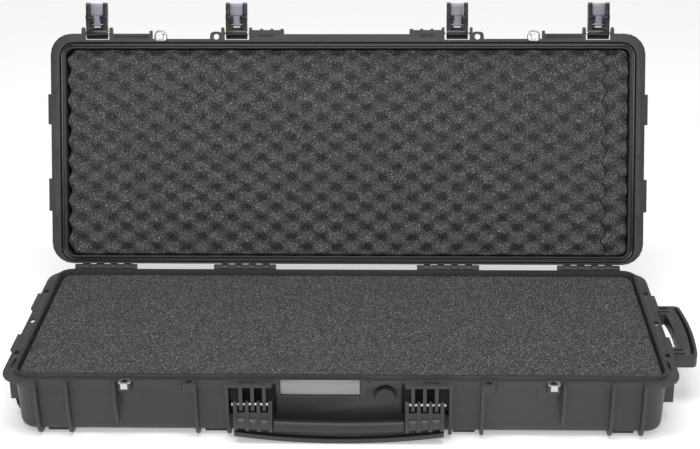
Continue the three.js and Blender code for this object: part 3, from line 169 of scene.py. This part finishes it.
def moulded_plastic(name, colour, roughness, texture=0.25, specular=0.5):
    """Moulded plastic with a fine spark-eroded grain, faint flow marks and uneven gloss."""
    material, tree, surface = new_material(name)
    place = coordinates(tree)
    flow = grain(tree, place, 5.0, 4.0)
    darker = tuple(c * 0.86 for c in colour)
    lighter = tuple(c * 1.14 for c in colour)
    surface.inputs["Specular IOR Level"].default_value = specular
    tree.links.new(ramp(tree, flow, [(0.35, darker), (0.65, lighter)]), surface.inputs["Base Color"])
    uneven = grain(tree, place, 60.0)
    gloss = node(tree, "MapRange", {
        "Value": uneven, "From Min": 0.3, "From Max": 0.7,
        "To Min": roughness - 0.06, "To Max": roughness + 0.06,
    })
    tree.links.new(gloss.outputs["Result"], surface.inputs["Roughness"])
    fine = grain(tree, place, 1400.0, 2.0)
    broad = grain(tree, place, 420.0, 2.0)
    height = node(tree, "Math", {0: fine, 1: broad}, operation="ADD")
    bump = node(tree, "Bump", {"Strength": texture, "Distance": 0.0003, "Height": height.outputs[0]})
    tree.links.new(bump.outputs["Normal"], surface.inputs["Normal"])
    return material


def foam_material(name, dark, light, speck):
    """Open-cell foam: a felt of fine cells with scattered bright cell walls."""
    material, tree, surface = new_material(name)
    place = coordinates(tree)
    cells = node(tree, "TexVoronoi", {"Vector": place, "Scale": 760.0}, feature="F1").outputs["Distance"]
    clumps = grain(tree, place, 640.0, 2.0)
    mottle = grain(tree, place, 30.0, 3.0)
    middle = tuple((a + b) / 2 for a, b in zip(dark, light))
    tone = ramp(tree, clumps, [(0.34, dark), (0.50, middle), (0.66, light)])
    sparks = node(tree, "TexWhiteNoise", {
        "Vector": node(tree, "VectorMath", {
            0: node(tree, "VectorMath", {0: place, "Scale": 1100.0}, operation="SCALE").outputs[0],
        }, operation="FLOOR").outputs[0],
    }, noise_dimensions="3D").outputs["Value"]
    spark = ramp(tree, sparks, [(0.930, (0.0, 0.0, 0.0)), (0.995, (1.0, 1.0, 1.0))])
    shade = node(tree, "Mix", {"Factor": 0.35}, data_type="RGBA", blend_type="MULTIPLY")
    tree.links.new(tone, shade.inputs["A"])
    tree.links.new(ramp(tree, mottle, [(0.3, (0.7, 0.7, 0.7)), (0.7, (1.0, 1.0, 1.0))]), shade.inputs["B"])
    lit = node(tree, "Mix", {}, data_type="RGBA")
    tree.links.new(spark, lit.inputs["Factor"])
    tree.links.new(shade.outputs["Result"], lit.inputs["A"])
    lit.inputs["B"].default_value = (*speck, 1.0)
    tree.links.new(lit.outputs["Result"], surface.inputs["Base Color"])
    surface.inputs["Roughness"].default_value = 0.95
    surface.inputs["Specular IOR Level"].default_value = 0.15
    height = node(tree, "Math", {0: clumps, 1: cells}, operation="SUBTRACT")
    bump = node(tree, "Bump", {"Strength": 0.35, "Distance": 0.0006, "Height": height.outputs[0]})
    tree.links.new(bump.outputs["Normal"], surface.inputs["Normal"])
    return material


def rubber(name, colour, roughness, texture=0.15):
    """Rubber with a slight mottle and a faint grain."""
    material, tree, surface = new_material(name)
    place = coordinates(tree)
    surface.inputs["Specular IOR Level"].default_value = 0.55
    flow = grain(tree, place, 35.0)
    darker = tuple(c * 0.8 for c in colour)
    lighter = tuple(c * 1.3 for c in colour)
    tree.links.new(ramp(tree, flow, [(0.3, darker), (0.7, lighter)]), surface.inputs["Base Color"])
    gloss = node(tree, "MapRange", {"Value": flow, "To Min": roughness - 0.05, "To Max": roughness + 0.07})
    tree.links.new(gloss.outputs["Result"], surface.inputs["Roughness"])
    bump = node(tree, "Bump", {"Strength": texture, "Distance": 0.0002, "Height": grain(tree, place, 700.0)})
    tree.links.new(bump.outputs["Normal"], surface.inputs["Normal"])
    return material


def brushed_metal(name, colour, roughness, along):
    """Metal with fine brush marks that run along one axis."""
    material, tree, surface = new_material(name)
    place = coordinates(tree)
    stretch = [1200.0, 1200.0, 1200.0]
    stretch["XYZ".index(along)] = 25.0
    marks = node(tree, "TexNoise", {
        "Vector": node(tree, "VectorMath", {0: place, 1: stretch}, operation="MULTIPLY").outputs[0],
        "Scale": 1.0, "Detail": 3.0,
    }).outputs["Fac"]
    surface.inputs["Metallic"].default_value = 1.0
    darker = tuple(c * 0.85 for c in colour)
    tree.links.new(ramp(tree, marks, [(0.3, darker), (0.7, colour)]), surface.inputs["Base Color"])
    gloss = node(tree, "MapRange", {"Value": marks, "To Min": roughness - 0.08, "To Max": roughness + 0.1})
    tree.links.new(gloss.outputs["Result"], surface.inputs["Roughness"])
    bump = node(tree, "Bump", {"Strength": 0.12, "Distance": 0.0002, "Height": marks})
    tree.links.new(bump.outputs["Normal"], surface.inputs["Normal"])
    return material


SHELL = moulded_plastic("shell_plastic", (0.036, 0.036, 0.037), 0.46, specular=0.4)
BLACK = moulded_plastic("dark_plastic", (0.007, 0.007, 0.008), 0.26, 0.12)
HANDLE = moulded_plastic("handle_plastic", (0.026, 0.027, 0.028), 0.38)
LEVER = moulded_plastic("lever_plastic", (0.20, 0.20, 0.245), 0.36, 0.12)
FOAM = foam_material("foam", (0.014, 0.014, 0.015), (0.108, 0.108, 0.110), (0.46, 0.46, 0.46))
SEAL = rubber("seal_rubber", (0.005, 0.005, 0.006), 0.14)
GRIP = rubber("grip_rubber", (0.012, 0.012, 0.013), 0.46, 0.3)
TYRE = rubber("tyre_rubber", (0.020, 0.020, 0.021), 0.7, 0.3)
STEEL = brushed_metal("steel", (0.56, 0.56, 0.57), 0.26, "X")
PLATE = brushed_metal("nameplate_metal", (0.28, 0.285, 0.29), 0.38, "X")

LOOK_OF_SLOT = {
    "shell_plastic": SHELL, "dark_plastic": BLACK, "handle_plastic": HANDLE, "lever_plastic": LEVER,
    "foam": FOAM, "seal_rubber": SEAL, "grip_rubber": GRIP, "tyre_rubber": TYRE, "steel": STEEL,
    "nameplate_metal": PLATE,
}

# ------------------------------------------------------------------ finish of the CAD nodes


def smoothing_group(degrees):
    """Geometry nodes that shade smooth, but keep every edge sharper than the given angle."""
    group = bpy.data.node_groups.new("smooth_by_angle", "GeometryNodeTree")
    group.interface.new_socket("Geometry", in_out="INPUT", socket_type="NodeSocketGeometry")
    group.interface.new_socket("Geometry", in_out="OUTPUT", socket_type="NodeSocketGeometry")
    start = group.nodes.new("NodeGroupInput")
    end = group.nodes.new("NodeGroupOutput")
    faces = group.nodes.new("GeometryNodeSetShadeSmooth")
    edges = group.nodes.new("GeometryNodeSetShadeSmooth")
    edges.domain = "EDGE"
    edges.inputs["Shade Smooth"].default_value = False
    angle = group.nodes.new("GeometryNodeInputMeshEdgeAngle")
    sharp = group.nodes.new("FunctionNodeCompare")
    sharp.operation = "GREATER_THAN"
    sharp.inputs["B"].default_value = math.radians(degrees)
    group.links.new(angle.outputs["Unsigned Angle"], sharp.inputs["A"])
    group.links.new(sharp.outputs["Result"], edges.inputs["Selection"])
    group.links.new(start.outputs[0], faces.inputs["Geometry"])
    group.links.new(faces.outputs[0], edges.inputs["Geometry"])
    group.links.new(edges.outputs[0], end.inputs[0])
    return group


SHARP_ANGLE = 32.0
SMOOTHING = smoothing_group(SHARP_ANGLE)
WELD_DISTANCE = 1e-5
FLAT_ANGLE = 0.4
STEEL_ROUND = 0.0002
PLASTIC_ROUND = 0.0005
NODE_ROUNDS = {
    "base_shell": 0.0007, "lid_shell": 0.0007, "tow_handle": 0.0022, "front_handle_frame": 0.0010,
}


def finish_node(name, width):
    """Small rounds on a CAD node's edges, by modifiers, so that its own mesh stays as it is."""
    piece = NODES[name]
    weld = piece.modifiers.new("weld", "WELD")
    weld.merge_threshold = WELD_DISTANCE
    flat = piece.modifiers.new("flat_faces", "DECIMATE")
    flat.decimate_type = "DISSOLVE"
    flat.angle_limit = math.radians(FLAT_ANGLE)
    bevel = piece.modifiers.new("edge_rounds", "BEVEL")
    bevel.width = width
    bevel.segments = 2
    bevel.limit_method = "ANGLE"
    bevel.angle_limit = math.radians(SHARP_ANGLE)
    bevel.use_clamp_overlap = True
    smooth = piece.modifiers.new("smooth_by_angle", "NODES")
    smooth.node_group = SMOOTHING


def finish_cad_nodes():
    for part in frame["record"]["subparts"]:
        name, slot = part["node"], part["material_slot"]
        piece = NODES[name]
        piece.data.materials.clear()
        piece.data.materials.append(LOOK_OF_SLOT[slot])
        usual = STEEL_ROUND if slot == "steel" else PLASTIC_ROUND
        finish_node(name, NODE_ROUNDS.get(name, usual))


# ------------------------------------------------------------------ pieces of our own

LID = JOINTS["lid_hinge"]
LID_OPEN = math.radians(LID["range_deg"][1])
LID_AXLE = Vector(LID["pos_m"])
OPENED = (
    Matrix.Translation(LID_AXLE) @ Matrix.Rotation(-LID_OPEN, 4, "X") @ Matrix.Translation(-LID_AXLE)
)
CLOSED = OPENED.inverted()


def link_mesh(name, points, faces, material):
    mesh = bpy.data.meshes.new(name)
    mesh.from_pydata([tuple(p) for p in points], [], faces)
    mesh.update()
    shaped = bmesh.new()
    shaped.from_mesh(mesh)
    bmesh.ops.recalc_face_normals(shaped, faces=shaped.faces)
    shaped.to_mesh(mesh)
    shaped.free()
    mesh.polygons.foreach_set("use_smooth", [True] * len(mesh.polygons))
    piece = bpy.data.objects.new(name, mesh)
    bpy.context.collection.objects.link(piece)
    mesh.materials.append(material)
    return piece


def stand_for(piece, body, slot, *nodes):
    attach(piece, body)
    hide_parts(*nodes)


def closed_box(name):
    """Lowest and highest corners of a lid node's box with the lid shut."""
    corners = [CLOSED @ vertex.co for vertex in NODES[name].data.vertices]
    low = Vector([min(c[k] for c in corners) for k in range(3)])
    high = Vector([max(c[k] for c in corners) for k in range(3)])
    return low, high


# ------------------------------------------------------------------ foam

CELL_X = 0.0505                # length of one wave of the convoluted foam
CELL_Y = 0.0335
CELL_PHASE = (-0.446, -0.136)  # one of its peaks, lid shut
CELL_DEPTH = 0.015             # peak to valley
SEAM_WAVE = 0.005              # wave of the cut edges of the lid foam
FOAM_STEP = 0.0034
FOAM_ROUND = 0.0022            # round of a foam piece's face edges
LID_FOAM_CORNER = 0.015
LID_FOAM_PLAY = 0.0004         # between the peaks and the face of the space they sit in
BLOCK_CORNER = 0.02
BLOCK_STEP = 0.012
UNEVENNESS = 0.0003
BLOCK_PLAY = 0.00008           # between a base block's sides and the space it is cut to


def spread(low, high, step):
    """Grid lines between two edges, closer together near both, for a small round there."""
    near = [0.0, 0.3 * FOAM_ROUND, FOAM_ROUND, 2.4 * FOAM_ROUND]
    count = max(2, round((high - low - 2 * near[-1]) / step))
    middle = [low + near[-1] + (high - low - 2 * near[-1]) * i / count for i in range(count + 1)]
    return [low + d for d in near[:-1]] + middle + [high - d for d in reversed(near[:-1])]


def foam_block(low, high, face, back, corners, surface, wave, step=FOAM_STEP):
    """A block of foam whose face follows surface(x, y), with round corners where corners says so."""
    xs = spread(low[0], high[0], step)
    ys = spread(low[1], high[1], step)
    sign = 1.0 if back > face else -1.0

    def place(x, y):
        for side_x, side_y, radius in corners:
            edge_x = high[0] if side_x > 0 else low[0]
            edge_y = high[1] if side_y > 0 else low[1]
            a = 1.0 - abs(edge_x - x) / radius
            b = 1.0 - abs(edge_y - y) / radius
            if a > 0.0 and b > 0.0:
                pull = max(a, b) / math.hypot(a, b)
                return (
                    edge_x - side_x * radius * (1.0 - a * pull),
                    edge_y - side_y * radius * (1.0 - b * pull),
                )
        return x, y

    def drop(x, y):
        inside = min(x - low[0], high[0] - x, y - low[1], high[1] - y)
        t = max(0.0, 1.0 - inside / FOAM_ROUND)
        return FOAM_ROUND * (1.0 - math.sqrt(max(0.0, 1.0 - t * t)))

    points, faces = [], []
    width = len(xs)
    for y in ys:
        for x in xs:
            px, py = place(x, y)
            px += wave(x, y)
            points.append((px, py, face + sign * (surface(px, py) + drop(x, y))))
    for j in range(len(ys) - 1):
        for i in range(width - 1):
            a = j * width + i
            faces.append((a, a + 1, a + width + 1, a + width))
    ring = list(range(width))
    ring += [j * width + width - 1 for j in range(1, len(ys))]
    ring += [(len(ys) - 1) * width + i for i in range(width - 2, -1, -1)]
    ring += [j * width for j in range(len(ys) - 2, 0, -1)]
    start = len(points)
    points += [(points[i][0], points[i][1], back) for i in ring]
    count = len(ring)
    faces += [
        (ring[k], ring[(k + 1) % count], start + (k + 1) % count, start + k) for k in range(count)
    ]
    faces.append(tuple(range(start, start + count)))
    return points, faces


def egg_crate(x, y):
    """Depth of the convoluted face below its peaks."""
    along = math.cos(2 * math.pi * (x - CELL_PHASE[0]) / CELL_X)
    across = math.cos(2 * math.pi * (y - CELL_PHASE[1]) / CELL_Y)
    return CELL_DEPTH * (0.5 - 0.5 * along * across)


def add_lid_foam():
    """Two pieces of convoluted foam that meet at a wavy cut."""
    for name, side in (("lid_foam_main", -1), ("lid_foam_end", 1)):
        low, high = closed_box(name)
        cut_edge = high[0] if side < 0 else low[0]
        corners = [(side, other, LID_FOAM_CORNER) for other in (-1, 1)]

        def wave(x, y, cut_edge=cut_edge, free=low[0], main=side < 0):
            turn = math.cos(2 * math.pi * (y - CELL_PHASE[1]) / CELL_Y)
            near = max(0.0, 1.0 - abs(x - cut_edge) / 0.02)
            shift = SEAM_WAVE * turn * near
            if main:
                end = max(0.0, 1.0 - (x - free) / 0.012)
                shift += 0.3 * SEAM_WAVE * (1.0 + turn) * end
            return shift

        points, faces = foam_block(low, high, low[2] + LID_FOAM_PLAY, high[2], corners, egg_crate, wave)
        piece = link_mesh(name + "_convoluted", [OPENED @ Vector(p) for p in points], faces, FOAM)
        stand_for(piece, "lid", "foam", name)


def uneven(x, y):
    """Depth of a flat foam's face below its highest spots."""
    return UNEVENNESS + UNEVENNESS * noise.noise(Vector((x * 14.0, y * 14.0, 0.0)))


def cut_to(piece, solid):
    """Cut a piece to the space a solid holds, with all its notches."""
    cut = piece.modifiers.new("notches", "BOOLEAN")
    cut.operation = "INTERSECT"
    cut.solver = "EXACT"
    cut.object = solid
    result = piece.evaluated_get(bpy.context.evaluated_depsgraph_get())
    mesh = bpy.data.meshes.new_from_object(result)
    piece.modifiers.clear()
    piece.data = mesh


def add_base_foam():
    """Two flat layers of foam with rounded top edges and a slightly uneven face."""
    for name in ("base_foam_upper", "base_foam_lower"):
        low, high = (Vector(corner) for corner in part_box(name))
        low += Vector((BLOCK_PLAY, BLOCK_PLAY, BLOCK_PLAY))
        high -= Vector((BLOCK_PLAY, BLOCK_PLAY, BLOCK_PLAY))
        corners = [(a, b, BLOCK_CORNER) for a in (-1, 1) for b in (-1, 1)]
        points, faces = foam_block(
            low, high, high[2], low[2], corners, uneven, lambda x, y: 0.0, step=BLOCK_STEP,
        )
        piece = link_mesh(name + "_block", points, faces, FOAM)
        cut_to(piece, NODES[name])
        stand_for(piece, "base", "foam", name)


# ------------------------------------------------------------------ seal, tyres and grip


SEAL_WIDTH = 0.0073
SEAL_CORNER = 0.0195


def ring_path(half_x, half_y, radius):
    """Points and outward directions round a rectangle with round corners."""
    steps = 14
    path = []
    for side_x, side_y, start in ((1, -1, -90), (1, 1, 0), (-1, 1, 90), (-1, -1, 180)):
        for i in range(steps + 1):
            angle = math.radians(start + 90 * i / steps)
            out = Vector((math.cos(angle), math.sin(angle)))
            corner = Vector((side_x * (half_x - radius), side_y * (half_y - radius)))
            path.append((corner + radius * out, out))
    return path


def add_gasket():
    """The seal in the lid's groove: a round-shouldered rubber ring with a shallow channel."""
    low, high = closed_box("lid_gasket")
    width = SEAL_WIDTH
    height = high[2] - low[2]
    half = (high[0] - low[0]) / 2 - width / 2
    across = (high[1] - low[1]) / 2 - width / 2
    profile = []
    for i in range(17):
        angle = math.pi * i / 16
        out = -math.cos(angle)
        dip = 0.0007 * math.exp(-((out / 0.28) ** 2))
        profile.append((out * width / 2, -height / 2 * math.sin(angle) ** 0.45 + dip))
    profile += [(width / 2, height / 2), (-width / 2, height / 2)]
    middle = (low[2] + high[2]) / 2
    points, faces = [], []
    path = ring_path(half, across, SEAL_CORNER)
    for centre, out in path:
        for u, w in profile:
            spot = centre + u * out
            points.append(OPENED @ Vector((spot[0], spot[1], middle + w)))
    count, size = len(path), len(profile)
    for i in range(count):
        for k in range(size):
            a, b = i * size + k, i * size + (k + 1) % size
            c, d = (i + 1) % count * size + (k + 1) % size, (i + 1) % count * size + k
            faces.append((a, b, c, d))
    piece = link_mesh("lid_seal_ring", points, faces, SEAL)
    stand_for(piece, "lid", "seal_rubber", "lid_gasket")


TYRE_STEPS = 144
TREAD_BLOCKS = 24
TYRE_DEPTH = 0.0048
SHOULDER = 0.0022
TREAD_DEPTH = 0.0009


def add_tyre(side):
    """A tyre with round shoulders and a tread of blocks between slanting grooves."""
    name = f"wheel_{side}_tyre"
    low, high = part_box(name)
    centre = (Vector(low) + Vector(high)) / 2
    radius = (high[0] - low[0]) / 2
    half = (high[1] - low[1]) / 2
    bore = radius - TYRE_DEPTH
    profile = [(-half, bore), (-half, radius - SHOULDER)]
    profile += [
        (-half + SHOULDER * (1 - math.cos(a)), radius - SHOULDER * (1 - math.sin(a)))
        for a in (math.radians(30), math.radians(60), math.radians(90))
    ]
    inner = half - SHOULDER
    profile += [(inner * k / 5, radius) for k in range(-4, 5)]
    profile += [(-y, r) for y, r in reversed(profile[:5])]
    points, faces = [], []
    for i in range(TYRE_STEPS):
        for y, r in profile:
            turn = 2 * math.pi * i / TYRE_STEPS
            if r > radius - 0.0012:
                slant = turn * TREAD_BLOCKS / (2 * math.pi) + abs(y) / half * 0.5
                groove = max(0.0, math.cos(2 * math.pi * slant) - 0.55) / 0.45
                middle = max(0.0, 1.0 - abs(y) / 0.0016)
                r -= TREAD_DEPTH * max(groove, middle)
            points.append(centre + Vector((r * math.cos(turn), y, r * math.sin(turn))))
    size = len(profile)
    for i in range(TYRE_STEPS):
        for k in range(size):
            a, b = i * size + k, i * size + (k + 1) % size
            c, d = (i + 1) % TYRE_STEPS * size + (k + 1) % size, (i + 1) % TYRE_STEPS * size + k
            faces.append((a, b, c, d))
    piece = link_mesh(name + "_tread", points, faces, TYRE)
    stand_for(piece, f"wheel_{side}", "tyre_rubber", name)


GRIP_BOW = 0.006               # how much the grip drops from its ends to its middle, over its frame
GRIP_BOW_HALF = 0.150


def add_grip():
    """The handle's soft sleeve: an oval bowed tube with shallow ribs round it and rolled ends."""
    low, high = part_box("front_handle_grip")
    half = (high[0] - low[0]) / 2
    thick = (high[1] - low[1]) / 2
    rise = GRIP_BOW * (half / GRIP_BOW_HALF) ** 2
    tall = (high[2] - low[2] - rise) / 2
    middle_y = (low[1] + high[1]) / 2
    points, faces = [], []
    around, along = 40, 120
    rings = [(-half, 0.80), (-half + 0.0004, 0.93)]
    rings += [(-half + 0.0014 + (2 * half - 0.0028) * i / along, 1.0) for i in range(along + 1)]
    rings += [(half - 0.0004, 0.93), (half, 0.80)]
    for x, scale in rings:
        middle_z = low[2] + tall + GRIP_BOW * (x / GRIP_BOW_HALF) ** 2
        rib = 0.0 if scale < 1.0 else 0.00022 * (0.5 + 0.5 * math.cos(2 * math.pi * x / 0.006))
        for k in range(around):
            angle = 2 * math.pi * k / around
            c, s = math.cos(angle), math.sin(angle)
            oval_y = math.copysign(abs(c) ** 0.8, c) * (thick * scale - rib)
            oval_z = math.copysign(abs(s) ** 0.8, s) * (tall * scale - rib)
            points.append((x, middle_y + oval_y, middle_z + oval_z))
    for i in range(len(rings) - 1):
        for k in range(around):
            a, b = i * around + k, i * around + (k + 1) % around
            faces.append((a, b, b + around, a + around))
    faces.append(tuple(range(around)))
    faces.append(tuple(range((len(rings) - 1) * around, len(rings) * around)))
    piece = link_mesh("front_handle_sleeve", points, faces, GRIP)
    stand_for(piece, "front_handle", "grip_rubber", "front_handle_grip")


# ------------------------------------------------------------------ the scene

add_camera()
add_studio()
add_floor()
finish_cad_nodes()
add_lid_foam()
add_base_foam()
add_gasket()
for wheel_side in ("front", "rear"):
    add_tyre(wheel_side)
add_grip()
